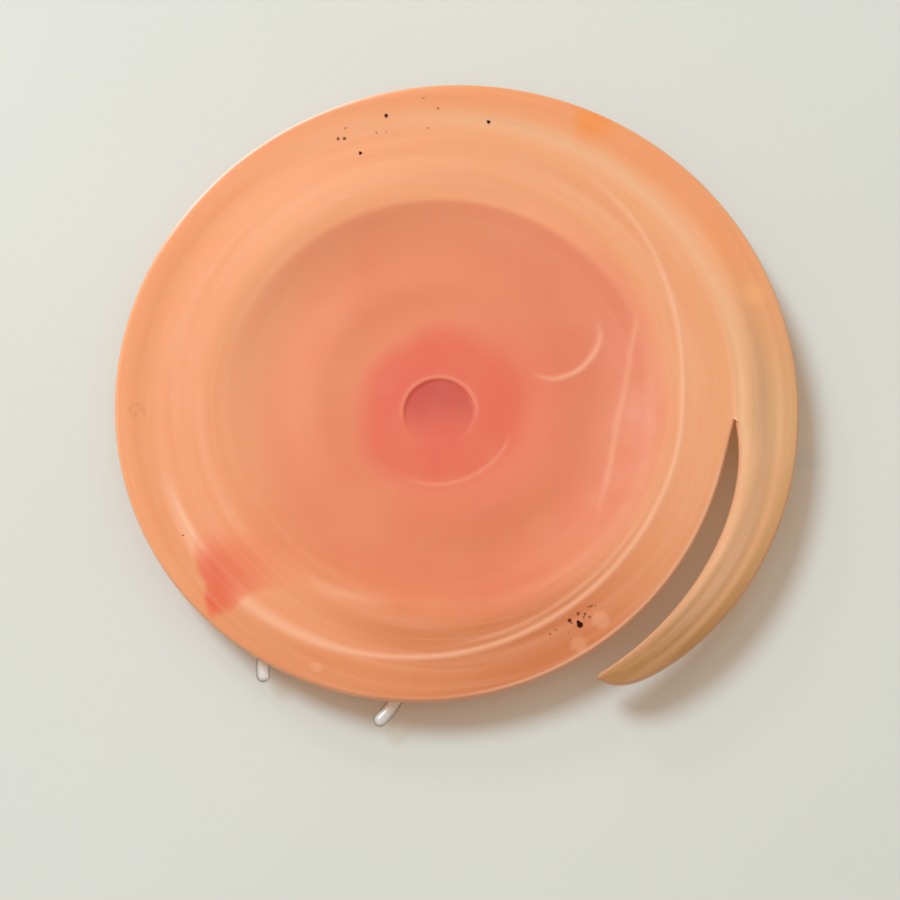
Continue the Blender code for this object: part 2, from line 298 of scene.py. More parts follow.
def tail_edges(share):
    """Inner and outer radius of the tail at a share of its length."""
    turn = share * TAIL_END_DEG / 360.0
    inner = body_edge(turn) + SLIT_W * (1 - np.exp(-share / SLIT_OPEN))
    curl = TIP_CURL * share ** TIP_CURL_POWER + TIP_TURN_IN * share ** TIP_TURN_IN_POWER
    outer = body_edge(turn + 1) - curl
    return inner, outer


def step_radius(turn):
    end = body_edge(0.0) - RIM_ROUND
    return STEP_R + (end - STEP_R) * (1 - (1 - turn) ** STEP_EASE)


def rim_top(turn):
    return RIM_Z + RAMP * turn


def polar(radius, turn, z):
    """Points at a turn clockwise from the slit's root."""
    angle = tau * turn + radians(SLIT_DEG)
    return np.stack(np.broadcast_arrays(radius * np.cos(angle), -radius * np.sin(angle), z), -1)


def turn_of(x, y):
    return (np.arctan2(-y, x) / tau - SLIT_DEG / 360) % 1.0


def late_turn(x, y):
    """Turns that run on past 1 over the tail, so that nothing jumps at the slit's root."""
    return (turn_of(x, y) - 0.25) % 1.0 + 0.25


def tail_share(late):
    """Share of the tail's length at a turn past 1."""
    return np.clip((late - 1) * 360 / TAIL_END_DEG, 0, 1)


def across_band(radius, late):
    """Share of the way across the outer band and the tail, from the slit's side to the rim's edge."""
    inner, outer = tail_edges(tail_share(late))
    outer = np.where(late < 1, rim_radius(late), outer)
    return (radius - inner) / (outer - inner)


def smooth(low, high, value):
    share = np.clip((value - low) / (high - low), 0, 1)
    return share * share * (3 - 2 * share)


def stretch(value, start, full, fade, end):
    """Full strength between two values, falling to nothing at the start and the end."""
    return smooth(start, full, value) * smooth(end, fade, value)


def hill(value, width):
    return np.exp(-(value / width) ** 2)


def beside(turn, side):
    """Strength of a colour that fades away on both sides of a turn."""
    middle, reach = side
    return hill(turn - middle, reach)


def seen(u, v, z):
    """The place at height z, in millimetres, that the camera sees at a pixel."""
    forward = (AIM - CAMERA) / np.linalg.norm(AIM - CAMERA)
    up = np.cross((1.0, 0.0, 0.0), forward)
    ray = forward + (u - PICTURE / 2) / FOCAL * np.array((1.0, 0.0, 0.0)) + (PICTURE / 2 - v) / FOCAL * up
    return CAMERA + ray * (z - CAMERA[2]) / ray[2]


def seen_line(pixels, z, steps=8):
    """A smooth line through pixels, as places at height z."""
    points = [seen(u, v, z)[:2] for u, v in pixels]
    points = [2 * points[0] - points[1]] + points + [2 * points[-1] - points[-2]]
    line = []
    for a, b, c, d in zip(points, points[1:], points[2:], points[3:]):
        for k in range(steps):
            t = k / steps
            line.append(0.5 * (2 * b + (c - a) * t + (2 * a - 5 * b + 4 * c - d) * t * t
                               + (3 * b - a - 3 * c + d) * t ** 3))
    line.append(points[-2])
    return np.array(line)


def line_distance(x, y, line):
    """Distance of points to a line, and the share of the line's length at the nearest point."""
    place = np.stack((x, y), -1)
    best = np.full(x.shape, np.inf)
    share = np.zeros(x.shape)
    count = len(line) - 1
    for k in range(count):
        along = line[k + 1] - line[k]
        t = np.clip(((place - line[k]) @ along) / (along @ along), 0, 1)
        away = np.linalg.norm(place - line[k] - t[..., None] * along, axis=-1)
        nearer = away < best
        best = np.where(nearer, away, best)
        share = np.where(nearer, (k + t) / count, share)
    return best, share


def bezier(a, b, c, count):
    """Points after the first on a curve from a to c that leaves and arrives towards b."""
    t = np.arange(1, count + 1)[:, None] / count
    return np.array(a) * (1 - t) ** 2 + 2 * np.array(b) * t * (1 - t) + np.array(c) * t * t


def straight(a, c, count):
    t = np.arange(1, count + 1)[:, None] / count
    return np.array(a) * (1 - t) + np.array(c) * t


# Relief and colour of the coral plastic

CRESCENT = seen_line(CRESCENT_PX, ON_FLOOR)
SCRATCH = seen_line(SCRATCH_PX, ON_FLOOR)
FLOOR_ARC = seen_line(FLOOR_ARC_PX, ON_FLOOR)
RED_EDGE = seen_line(RED_EDGE_PX, ON_RIM)
RED_LOW_EDGE = seen_line(RED_LOW_EDGE_PX, ON_RIM)
RECESS = seen(*RECESS_PX, COLLAR_TOP)
ZONE = seen(*ZONE_PX, COLLAR_TOP)


def flow_line(late):
    """Radius of the thin light line that sweeps in over the terrace and out again along the step."""
    first = STEP_R + 0.4
    reach = STEP_GROWTH - 0.6
    return first + reach * smooth(1.0, 0.80, late) + reach * smooth(1.06, 1.42, late)


def crescent_mark(x, y):
    away, share = line_distance(x, y, CRESCENT)
    tapered = np.sin(pi * np.clip(share, 0.02, 0.98)) ** 0.6
    return hill(away, CRESCENT_W) * tapered


def scratch_mark(x, y):
    away, share = line_distance(x, y, SCRATCH)
    tapered = stretch(share, 0, 0.06, 0.6, 1)
    return hill(away, SCRATCH_W) * tapered


def arc_mark(x, y):
    away, share = line_distance(x, y, FLOOR_ARC)
    return hill(away, ARC_W) * np.sin(pi * share)


def flow_mark(radius, turn):
    """The line over the terrace, wider at its near end, and a fainter one inside it."""
    sweep = np.where(turn < 0.5, turn + 1, turn)
    past = radius - flow_line(sweep)
    width = FLOW_W + FLOW_WIDER * smooth(1.26, 1.34, sweep)
    line = hill(past, width) * stretch(sweep, *FLOW_TURNS)
    second = hill(past + SECOND_FLOW_IN, SECOND_FLOW_W) * stretch(sweep, *SECOND_FLOW_TURNS)
    return line + 0.5 * second


def along_tail(across, line):
    """Strength of a line along the tail."""
    middle, width, strength = line
    return strength * hill(across - middle, width)


def marks(x, y):
    """Strength of each moulded line at points on the cap, and the tail's share."""
    radius = np.hypot(x, y)
    turn = turn_of(x, y)
    late = late_turn(x, y)
    across = across_band(radius, late)
    tail = smooth(0.90, 1.0, late) * smooth(-0.02, 0.04, across)
    return {
        "crescent": crescent_mark(x, y),
        "scratch": scratch_mark(x, y),
        "arc": arc_mark(x, y),
        "flow": flow_mark(radius, turn),
        "step": hill(radius - step_radius(turn), STEP_LINE_W) * stretch(turn, *STEP_LINE_TURNS),
        "tail": tail,
        "groove": along_tail(across, GROOVE) * tail * smooth(1.15, 1.07, late),
    }


def weighed(found, weights):
    return sum(weight * found[name] for name, weight in weights.items())


def relief(x, y):
    """Height of the moulding's lines above the plain surface."""
    return weighed(marks(x, y), RELIEF)


def recess(x, y):
    """Distance past the edge of the recess in the centre, and how far it is sunk: less on its near side."""
    past = np.hypot(x - RECESS[0], y - RECESS[1]) - RECESS_R
    far = smooth(-RECESS_R, 0.6 * RECESS_R, y - RECESS[1])
    return past, far * smooth(0, -RECESS_EDGE, past)


def linear(rgb):
    """A screen colour as light."""
    value = np.array(rgb) / 255.0
    return np.where(value <= 0.04045, value / 12.92, ((value + 0.055) / 1.055) ** 2.4)


class Layers:
    """Colours laid one over another at points on the cap."""

    def __init__(self, x, y, rgb):
        self.x = x
        self.y = y
        self.radius = np.hypot(x, y)
        self.turn = turn_of(x, y)
        self.late = late_turn(x, y)
        self.marks = marks(x, y)
        self.tint = np.broadcast_to(linear(rgb), x.shape + (3,))

    def lay(self, rgb, share, strength=1.0):
        share = np.clip(strength * share, 0, 1)[..., None]
        self.tint = self.tint + (linear(rgb) - self.tint) * share

    def away(self, place):
        return np.hypot(self.x - place[0], self.y - place[1])


def tint_rim(layers):
    """Rim and terrace: paler on the far side, where the paler colour also reaches down the wall as painted
    light, and with painted shade on the near side.
    """
    radius, turn, late = layers.radius, layers.turn, layers.late
    terrace = smooth(31, 26, radius)
    layers.lay(TERRACE_RGB, terrace)
    # Paler far-left terrace; where it reaches down the wall it is painted light against the wall's shade
    far_left = beside(turn, FAR_LEFT) * smooth(20, 23, radius)
    less_on_rim = 0.8 - 0.4 * smooth(26, 30, radius)
    layers.lay(TERRACE_FAR_RGB, far_left * less_on_rim)
    # Painted shade on the near right of the rim and terrace
    near_right = beside(turn, NEAR_RIGHT) * smooth(20, 25, radius)
    layers.lay(RIM_SHADE_AND_DULL_RGB, near_right)
    pale_band = stretch(late, *PALE_TURNS) * stretch(radius, 22, 25, 30.5, 33.5)
    layers.lay(PALE_RGB, pale_band, strength=0.32)
    past_lip = radius - step_radius(np.minimum(late, 1.0)) - 1.2
    lip = hill(past_lip, 1.0) * stretch(late, *LIP_TURNS)
    layers.lay(PALE_RGB, lip, strength=0.9)
    # Painted shade on the near left of the rim and on the near terrace
    near_left_rim_shade = beside(turn, NEAR_LEFT) * smooth(27.5, 29.5, radius)
    layers.lay(RIM_SHADE_AND_DULL_RGB, near_left_rim_shade, strength=0.35)
    near_terrace_shade = beside(turn, NEAR) * hill(radius - 24.4, 1.6)
    layers.lay(RIM_SHADE_AND_DULL_RGB, near_terrace_shade, strength=0.4)


def tint_floor(layers):
    """The floor, sharpest at its far edge, and painted light on the wall round its left and far sides and
    on the floor beside it, which offsets the wall's shade.
    """
    x, y, radius, turn = layers.x, layers.y, layers.radius, layers.turn
    blur = 2.8 - 2.6 * smooth(-6, 12, y)
    inside = smooth(WALL_R + blur, WALL_R - 0.6 - blur, radius)
    layers.lay(FLOOR_RGB, inside)
    left = smooth(23.5, 20.0, radius) * smooth(-8, -21, x - 0.15 * y)
    layers.lay(FLOOR_LEFT_RGB, left)
    right = smooth(24.5, 20.5, radius) * smooth(2, 17, x + 0.2 * y)
    layers.lay(FLOOR_RIGHT_RGB, right, strength=0.9)
    near_right = beside(turn, NEAR_RIGHT) * stretch(radius, 7, 15, 21, 25)
    layers.lay(FLOOR_LOW_RGB, near_right, strength=0.8)
    # Painted light on the wall's far and left sides and on the floor beside it, against the wall's shade
    shaded = stretch(turn, *SHADED_TURNS)
    wall = shaded * hill(radius - 21.3, 1.5) * (1 - inside)
    layers.lay(TERRACE_FAR_RGB, wall, strength=0.9)
    painted_light_by_wall = shaded * hill(radius - 19.8, 2.2) * inside
    layers.lay(FLOOR_LEFT_RGB, painted_light_by_wall, strength=0.55)
    painted_light_left_wall = beside(turn, LEFT) * hill(radius - 20.3, 2.0)
    layers.lay(TERRACE_FAR_RGB, painted_light_left_wall, strength=0.6)


def tint_centre(layers):
    """The redder zone in the middle, uneven and spreading to the right, a painted highlight on the collar's
    near edge, and the recess in it with a painted highlight round its far edge and painted shade inside,
    deepest at its far side.
    """
    y, turn = layers.y, layers.turn
    angle = tau * turn
    wobble = 0.5 * np.sin(2 * angle + 1.0) + 0.3 * np.sin(5 * angle)
    zone = layers.away(ZONE)
    layers.lay(CENTRE_RGB, smooth(9.8, 6.4, zone + wobble))
    rightward = (0.5 + 0.5 * np.cos(angle - 0.22)) ** 1.5
    layers.lay(CENTRE_RGB, rightward * smooth(16.0, 7.0, zone), strength=0.85)
    # Painted highlight along the collar's near edge
    collar_edge_highlight = hill(zone - COLLAR_R, COLLAR_EDGE_W) * stretch(turn, *COLLAR_EDGE_TURNS)
    layers.lay(LINE_RGB, collar_edge_highlight, strength=0.22)
    past, sunk = recess(layers.x, y)
    # Painted highlight just outside the recess's far edge
    recess_edge_highlight = hill(past - RIDGE_OUT, RIDGE_W) * smooth(-1.5, 1.0, y - RECESS[1])
    layers.lay(LINE_RGB, recess_edge_highlight, strength=0.2)
    # Painted shade inside the recess, deepest at its far side
    layers.lay(RECESS_SHADE_RGB, sunk)


def tint_tail(layers):
    """The outer band by the slit and the tail, with painted shade that makes it darker and browner towards
    the tip, and pale stripes along it.
    """
    late = layers.late
    tail = layers.marks["tail"]
    layers.lay(TAIL_RGB, tail, strength=0.95)
    # Painted shade towards the tail's tip
    layers.lay(TAIL_END_SHADE_RGB, tail * smooth(1.01, 1.13, late), strength=0.95)
    layers.lay(GROOVE_RGB, layers.marks["groove"], strength=0.9)
    across = across_band(layers.radius, late)
    stripes = sum(along_tail(across, stripe) for stripe in STRIPES)
    layers.lay(PALE_RGB, stripes * tail * smooth(1.16, 1.06, late), strength=0.7)


def tint_lines(layers):
    """Moulded lines, and painted highlights on the edges that catch the light."""
    radius, turn, late = layers.radius, layers.turn, layers.late
    layers.lay(LINE_RGB, weighed(layers.marks, FLOOR_LINES))
    layers.lay(LINE_RGB, weighed(layers.marks, STEP_LINES))
    # Painted highlights along the edges of the rim, the tail and the near side
    past_rim = radius - body_edge(turn)
    rim_edge_highlight = hill(past_rim, RIM_LINE_W)
    inner, outer = tail_edges(tail_share(late))
    tail_edge_highlight = hill(radius - inner, TAIL_LINE_W) + hill(radius - outer, TAIL_LINE_W)
    tail_edge_highlight = tail_edge_highlight * layers.marks["tail"] * smooth(1.0, 1.01, late)
    layers.lay(LINE_RGB, rim_edge_highlight + tail_edge_highlight, strength=0.6)
    near_edge_highlight = hill(past_rim + NEAR_LINE_IN, NEAR_LINE_W) * stretch(turn, *NEAR_LINE_TURNS)
    layers.lay(LINE_RGB, 0.9 * near_edge_highlight + 0.3 * tail_edge_highlight)
    gleam = hill(past_rim + GLEAM_IN, GLEAM_W) * stretch(turn, *GLEAM_TURNS)
    layers.lay(GLEAM_RGB, gleam)


def tint_patches(layers):
    """An orange patch, a red patch with ragged edges, and small pale spots, all on the rim."""
    x, y = layers.x, layers.y
    orange = seen(*ORANGE_PATCH_PX, ON_RIM)
    edge = seen(*ORANGE_EDGE_PX, ON_RIM)[0]
    spread = hill(np.hypot((x - orange[0]) / 1.3, y - orange[1]), 1.9)
    layers.lay(ORANGE_RGB, spread * smooth(edge - 0.2, edge + 0.3, x), strength=0.85)
    left_edge = np.interp(y, RED_EDGE[::-1, 1], RED_EDGE[::-1, 0])
    low_edge = np.interp(x, RED_LOW_EDGE[:, 0], RED_LOW_EDGE[:, 1])
    within = smooth(left_edge - 0.15, left_edge + 0.35, x) * smooth(low_edge - 0.3, low_edge + 0.6, y)
    for u, v, size, strength in RED_SPOTS_PX:
        glow = hill(layers.away(seen(u, v, ON_RIM)), size * RIM_PIXEL)
        layers.lay(RED_RGB, glow * within, strength)
    light_spot = hill(layers.away(seen(*LIGHT_SPOT_PX, ON_RIM)), 1.1)
    layers.lay(SPOT_RGB, light_spot, strength=0.7)
    for u, v, size in PALE_DOTS_PX:
        dot_r = size * PIXEL
        dot = smooth(1.15 * dot_r, 0.8 * dot_r, layers.away(seen(u, v, ON_RIM)))
        layers.lay(LINE_RGB, dot, strength=0.28)


def coral_tint(x, y):
    """Colour of the cap's plastic, redder where it is thick and paler where it is thin or scuffed, with
    painted highlights on its edges, painted light on the wall, and painted shade on the near side, in the
    recess and towards the tail's tip.
    """
    layers = Layers(x, y, RIM_RGB)
    tint_rim(layers)
    tint_floor(layers)
    tint_centre(layers)
    tint_tail(layers)
    tint_lines(layers)
    tint_patches(layers)
    return layers.tint


# Meshes

def make_object(name, points, faces, smooth_deg=40.0):
    """A closed mesh from points in millimetres, shaded smooth apart from its sharp edges."""
    mesh = bpy.data.meshes.new(name)
    mesh.from_pydata((np.asarray(points) * MM).tolist(), [], faces)
    bm = bmesh.new()
    bm.from_mesh(mesh)
    bmesh.ops.recalc_face_normals(bm, faces=bm.faces)
    bm.to_mesh(mesh)
    bm.free()
    mesh.shade_smooth()
    mesh.set_sharp_from_angle(angle=radians(smooth_deg))
    obj = bpy.data.objects.new(name, mesh)
    bpy.context.scene.collection.objects.link(obj)
    return obj


def distinct_faces(rows, closed=True):
    """Faces between neighbouring rows of point numbers, without the corners that fall together."""
    faces = []
    for near, far in zip(rows, rows[1:]):
        count = len(near)
        for k in range(count if closed else count - 1):
            after = (k + 1) % count
            corners = list(dict.fromkeys((near[k], far[k], far[after], near[after])))
            if len(corners) > 2:
                faces.append(corners)
    return faces


def paint(obj, tint, flow):
    """Store each point's colour, its place at rest and its place along the flow of the plastic."""
    mesh = obj.data
    colour = np.concatenate((tint, np.ones((len(tint), 1))), 1)
    mesh.attributes.new("tint", "FLOAT_COLOR", "POINT").data.foreach_set("color", colour.ravel())
    rest = np.empty(len(mesh.vertices) * 3)
    mesh.vertices.foreach_get("co", rest)
    mesh.attributes.new("rest", "FLOAT_VECTOR", "POINT").data.foreach_set("vector", rest)
    mesh.attributes.new("flow", "FLOAT_VECTOR", "POINT").data.foreach_set("vector", flow.ravel())
    soft = softness(rest[0::3] / MM, rest[1::3] / MM)
    mesh.attributes.new("soft", "FLOAT", "POINT").data.foreach_set("value", soft)


def places(obj):
    """Places of a mesh's points."""
    co = np.empty(len(obj.data.vertices) * 3)
    obj.data.vertices.foreach_get("co", co)
    return co.reshape(-1, 3) / MM


def flow_of(x, y):
    """Coordinates that stretch the plastic's streaks round the cap."""
    radius = np.hypot(x, y)
    angle = tau * turn_of(x, y)
    swirl = 1.1 * smooth(2.0, 14.0, radius)
    return np.stack((radius, swirl * np.cos(angle), swirl * np.sin(angle)), -1)


def softness(x, y):
    """How much light spreads under the surface: none near the joins between pieces."""
    radius = np.hypot(x, y)
    off_collar = smooth(COLLAR_R + 1, COLLAR_R + 4, radius)
    along_rim = (late_turn(x, y) - 1) * tau * radius
    by_slit = smooth(28, 30, radius) * hill(along_rim, 4.0)
    return off_collar * (1 - by_slit)


def paint_coral(obj):
    x, y = places(obj)[:, :2].T
    paint(obj, coral_tint(x, y), flow_of(x, y))


def body_runs(turn):
    """The outer part of a cross-section as runs of (radius, height) points, over the top and back."""
    edge = body_edge(turn)
    top = rim_top(turn)
    foot = step_radius(turn)
    share = (np.arange(1, BAND_POINTS + 1) / BAND_POINTS) ** 2
    shelf_r = STEP_R + (foot - STEP_R) * share
    width = edge - RIM_ROUND - foot
    band_r = foot + width * share
    run = STEP_RUN + (width - STEP_RUN) * smooth(1.0, STEP_WIDE_TURN, turn)
    band_z = RIM_Z + (top - RIM_Z) * smooth(0, run, band_r - foot)
    middle = (top + RIM_UNDER_Z) / 2
    half = (top - RIM_UNDER_Z) / 2
    bow = pi * np.arange(1, EDGE_POINTS + 1) / (EDGE_POINTS + 1)
    under_start = edge - RIM_ROUND
    under_end = WALL_OUT_R + UNDER_FILLET
    under = under_end + (body_edge(0.0) - RIM_ROUND - under_end) * turn
    back = np.arange(UNDER_POINTS + 1) / UNDER_POINTS
    level = np.full(UNDER_POINTS + 1, RIM_UNDER_Z)
    return {
        "shelf": np.stack((shelf_r, np.full(BAND_POINTS, RIM_Z)), -1),
        "band": np.stack((band_r, band_z), -1),
        "edge": np.stack((edge - RIM_ROUND + RIM_ROUND * np.sin(bow), middle + half * np.cos(bow)), -1),
        "under_band": np.stack((under_start + (under - under_start) * back, level), -1),
        "under_shelf": np.stack((under + (under_end - under) * back, level), -1)[1:-1],
    }


def inner_run():
    """The floor, the wall and the start of the terrace, which are the same all round."""
    bore = COLLAR_R + RING_HAIR
    floor_end = FLOOR_R - WALL_START
    radius = np.linspace(bore, floor_end, FLOOR_POINTS)
    height = FLOOR_T - COLLAR_SINK * smooth(bore + FLOOR_DIP, bore, radius)
    floor = np.stack((radius, height), -1)
    middle = ((FLOOR_R + WALL_R) / 2, (FLOOR_T + RIM_Z) / 2)
    return np.concatenate((
        floor,
        bezier(floor[-1], (FLOOR_R - WALL_SOFT, FLOOR_T), middle, WALL_POINTS),
        bezier(middle, (WALL_R + WALL_SOFT, RIM_Z), (STEP_R, RIM_Z), WALL_POINTS),
    ))


def outer_run():
    """The outside of the wall, the underside and the hole for the collar, also the same all round."""
    lean = (WALL_OUT_R - FOOT_R) / RIM_UNDER_Z
    start = (WALL_OUT_R + UNDER_FILLET, RIM_UNDER_Z)
    high = (WALL_OUT_R - lean * UNDER_FILLET, RIM_UNDER_Z - UNDER_FILLET)
    low = (FOOT_R + lean * FOOT_ROUND, FOOT_ROUND)
    counterbore = COLLAR_R + COLLAR_LIP + RING_HAIR
    ledge = LIP_T + RING_HAIR
    return np.concatenate((
        [start],
        bezier(start, (WALL_OUT_R, RIM_UNDER_Z), high, 7),
        straight(high, low, 6),
        bezier(low, (FOOT_R, 0.0), (FOOT_R - FOOT_ROUND, 0.0), 6),
        straight((FOOT_R - FOOT_ROUND, 0.0), (counterbore, 0.0), 10),
        straight((counterbore, 0.0), (counterbore, ledge), 2),
        straight((counterbore, ledge), (COLLAR_R + RING_HAIR, ledge), 2),
    ))


def make_body():
    """The dish and its spiral rim.

    The last section is the first one again, with the end of the outer band beyond it.
    """
    points = []

    def add(run, turn):
        first = len(points)
        points.extend(polar(run[:, 0], turn, run[:, 1]))
        return list(range(first, len(points)))

    rows = []
    keys = ("shelf", "band", "edge", "under_band", "under_shelf")
    start = None
    for station in range(STATIONS + 1):
        turn = station / STATIONS
        runs = body_runs(turn)
        if station == 0:
            row = {"inner": add(inner_run(), 0.0), "outer": add(outer_run(), 0.0)}
            row["shelf"] = [row["inner"][-1]] * BAND_POINTS
            row["band"] = add(runs["band"], 0.0)
            row["edge"] = add(runs["edge"], 0.0)
            row["under_band"] = add(runs["under_band"][:-1], 0.0) + row["outer"][:1]
            row["under_shelf"] = row["outer"][:1] * len(runs["under_shelf"])
            start = row
        elif station < STATIONS:
            row = {"inner": add(inner_run(), turn), "outer": add(outer_run(), turn)}
            for key in keys:
                row[key] = add(runs[key], turn)
        else:
            row = {"inner": start["inner"], "outer": start["outer"], "shelf": start["band"]}
            row["band"] = add(runs["band"], 0.0)
            row["edge"] = add(runs["edge"], 0.0)
            row["under_band"] = add(runs["under_band"][:-1], 0.0) + start["under_band"][:1]
            row["under_shelf"] = start["under_band"][1:-1]
        rows.append(row)

    order = ("inner",) + keys + ("outer",)
    faces = distinct_faces([sum((row[key] for key in order), []) for row in rows])
    end = rows[-1]
    faces.append([start["band"][-1]] + end["band"] + end["edge"] + end["under_band"] + start["edge"][::-1])

    points = np.array(points)
    raised = sorted({k for row in rows for key in ("inner", "shelf", "band") for k in row[key]})
    points[raised, 2] += relief(points[raised, 0], points[raised, 1])
    obj = make_object("cap_skin", points, faces)
    paint_coral(obj)
    return obj


def tail_section(share):
    """The tail's cross-section, the same at its root as the end of the cap's outer band."""
    inner, outer = tail_edges(share)
    width = outer - inner
    free = smooth(0, TAIL_FREE, share)
    rounding = min(RIM_ROUND, width * NARROW_ROUND)
    bulge = rounding * (2 * free - 1)
    first = inner + bulge
    top = rim_top(1.0)
    run = min(STEP_RUN, width * NARROW_RUN)
    share_in = (np.arange(BAND_POINTS + 1) / BAND_POINTS) ** 2
    radius = first + (outer - rounding - first) * share_in
    height = RIM_Z + (top - RIM_Z) * smooth(0, run, radius - inner + RIM_ROUND)
    bow = pi * np.arange(1, EDGE_POINTS + 1) / (EDGE_POINTS + 1)
    half = (top - RIM_UNDER_Z) / 2
    edge_r = outer - rounding + rounding * np.sin(bow)
    edge = np.stack((edge_r, RIM_UNDER_Z + half + half * np.cos(bow)), -1)
    back = np.linspace(outer - rounding, first, UNDER_POINTS + 1)
    under = np.stack((back, np.full(UNDER_POINTS + 1, RIM_UNDER_Z)), -1)
    half_in = RIM_T / 2
    inside = np.stack((first - bulge * np.sin(bow), RIM_UNDER_Z + half_in - half_in * np.cos(bow)), -1)
    return np.concatenate((np.stack((radius, height), -1), edge, under, inside))


def make_tail():
    """The rim's free end, flush with the band's end at the slit's root."""
    points, rows, raised = [], [], []
    for station in range(TAIL_STATIONS + 1):
        share = (station / TAIL_STATIONS) ** TAIL_CROWDING
        turn = share * TAIL_END_DEG / 360.0
        section = tail_section(share)
        past = max(0.0, (share - 1 + TIP_ROUND) / TIP_ROUND)
        squeeze = max(TIP_SQUEEZE, (1 - past * past) ** 0.5)
        middle = section[:, 0].mean()
        section[:, 0] = middle + (section[:, 0] - middle) * squeeze
        rows.append(list(range(len(points), len(points) + len(section))))
        raised += rows[-1][:BAND_POINTS + 1]
        points.extend(polar(section[:, 0], turn, section[:, 1]))
    faces = distinct_faces(rows) + [rows[0], rows[-1]]
    points = np.array(points)
    points[raised, 2] += relief(points[raised, 0], points[raised, 1])
    obj = make_object("tail_skin", points, faces)
    paint_coral(obj)
    return obj


def centre_piece(name, profile):
    """A solid turned about the cap's axis from its outline, with the recess moulded in its top."""
    points, rows = [], []
    solid = profile[0][0] == 0
    for step in range(TURNED_STEPS):
        row = []
        for k, (radius, z) in enumerate(profile):
            if radius == 0 and step:
                row.append(rows[0][k])
            else:
                row.append(len(points))
                points.append(polar(radius, step / TURNED_STEPS, z))
        rows.append(row)
    rows.append(rows[0])
    points = np.array(points)
    top = points[:, 2] > COLLAR_TOP - HAIR
    points[top, 2] -= RECESS_DEPTH * recess(points[top, 0], points[top, 1])[1]
    obj = make_object(name, points, distinct_faces(rows, closed=not solid))
    paint_coral(obj)
    return obj


def make_collar():
    """The ring in the floor. The recess reaches a little way into it."""
    bore = PLUG_R + RING_HAIR
    counterbore = PLUG_R + PLUG_LIP + RING_HAIR
    profile = [(bore, COLLAR_TOP)]
    profile += straight((bore, COLLAR_TOP), (COLLAR_R, COLLAR_TOP), COLLAR_POINTS).tolist()
    profile += [
        (COLLAR_R, LIP_T),
        (COLLAR_R + COLLAR_LIP, LIP_T),
        (COLLAR_R + COLLAR_LIP, 0.0),
        (counterbore, 0.0),
        (counterbore, LIP_T + RING_HAIR),
        (bore, LIP_T + RING_HAIR),
    ]
    return centre_piece("collar_skin", profile)


def make_plug():
    """The plug, which holds most of the recess."""
    profile = [(radius, COLLAR_TOP) for radius in np.linspace(0, PLUG_R, PLUG_POINTS)]
    profile += [
        (PLUG_R, LIP_T),
        (PLUG_R + PLUG_LIP, LIP_T),
        (PLUG_R + PLUG_LIP, 0.0),
        (0.0, 0.0),
    ]
    return centre_piece("plug_skin", profile)


def add_bevel(obj, width):
    bevel = obj.modifiers.new("soft edges", "BEVEL")
    bevel.width = width * MM
    bevel.segments = BEVEL_SEGMENTS
    bevel.limit_method = "ANGLE"


def capped(name, sections, **shading):
    """A solid through sections of as many points each, with flat ends."""
    points, rows = [], []
    for section in sections:
        rows.append(list(range(len(points), len(points) + len(section))))
        points += section
    return make_object(name, points, distinct_faces(rows) + [rows[0], rows[-1]], **shading)


def make_gusset():
    """A web between the wall and the underside of the rim, with soft edges."""
    near = WALL_OUT_R + SEAT_GAP
    far = float(rim_radius(GUSSET_TURN)) - GUSSET_SETBACK
    top = RIM_UNDER_Z - HAIR
    outward = polar(1.0, GUSSET_TURN, 0.0)
    across = np.array((-outward[1], outward[0], 0.0))
    lengths = np.linspace(near, far, GUSSET_STEPS + 1)
    curve = ((far - lengths) / (far - near)) ** GUSSET_CURVE
    fall = GUSSET_TOE + (GUSSET_HEEL - GUSSET_TOE) * curve
    outline = [(r, top) for r in lengths] + [(r, top - d) for r, d in zip(lengths[::-1], fall[::-1])]
    sections = []
    for side in (-GUSSET_W / 2, GUSSET_W / 2):
        sections.append([outward * r + across * side + np.array((0, 0, z)) for r, z in outline])
    obj = capped("gusset_skin", sections)
    add_bevel(obj, GUSSET_BEVEL)
    place = places(obj)
    tint = np.broadcast_to(linear(RED_RGB), place.shape).copy()
    paint(obj, tint, flow_of(place[:, 0], place[:, 1]))
    return obj


def clip_point(radius, angle, z):
    """Point in the clip, at an angle from its back; a positive angle is on its right seen from outside."""
    outward = polar(1.0, CLIP_TURN, 0.0)
    across = np.array((-outward[1], outward[0], 0.0))
    return outward * (CLIP_REACH - radius * cos(angle)) + across * radius * sin(angle) + np.array((0, 0, z))


def make_saddle():
    """The clip's back, hollow on the clip's side and curved to the wall behind."""
    half = radians(SADDLE_DEG)
    wall_half = SADDLE_HALF_W / SADDLE_BACK_R / tau
    shares = np.linspace(-1, 1, SADDLE_POINTS)
    outline = [clip_point(CLIP_INNER_R, half * share, 0.0) for share in shares]
    outline.append(clip_point(CLIP_OUTER_R, half, 0.0))
    outline += [polar(SADDLE_BACK_R, CLIP_TURN + wall_half * share, 0.0) for share in shares]
    outline.append(clip_point(CLIP_OUTER_R, -half, 0.0))
    sections = []
    for z in (CLIP_Z - SADDLE_H / 2, CLIP_Z + SADDLE_H / 2):
        sections.append([point + np.array((0, 0, z)) for point in outline])
    obj = capped("saddle_skin", sections)
    add_bevel(obj, SADDLE_BEVEL)
    return obj


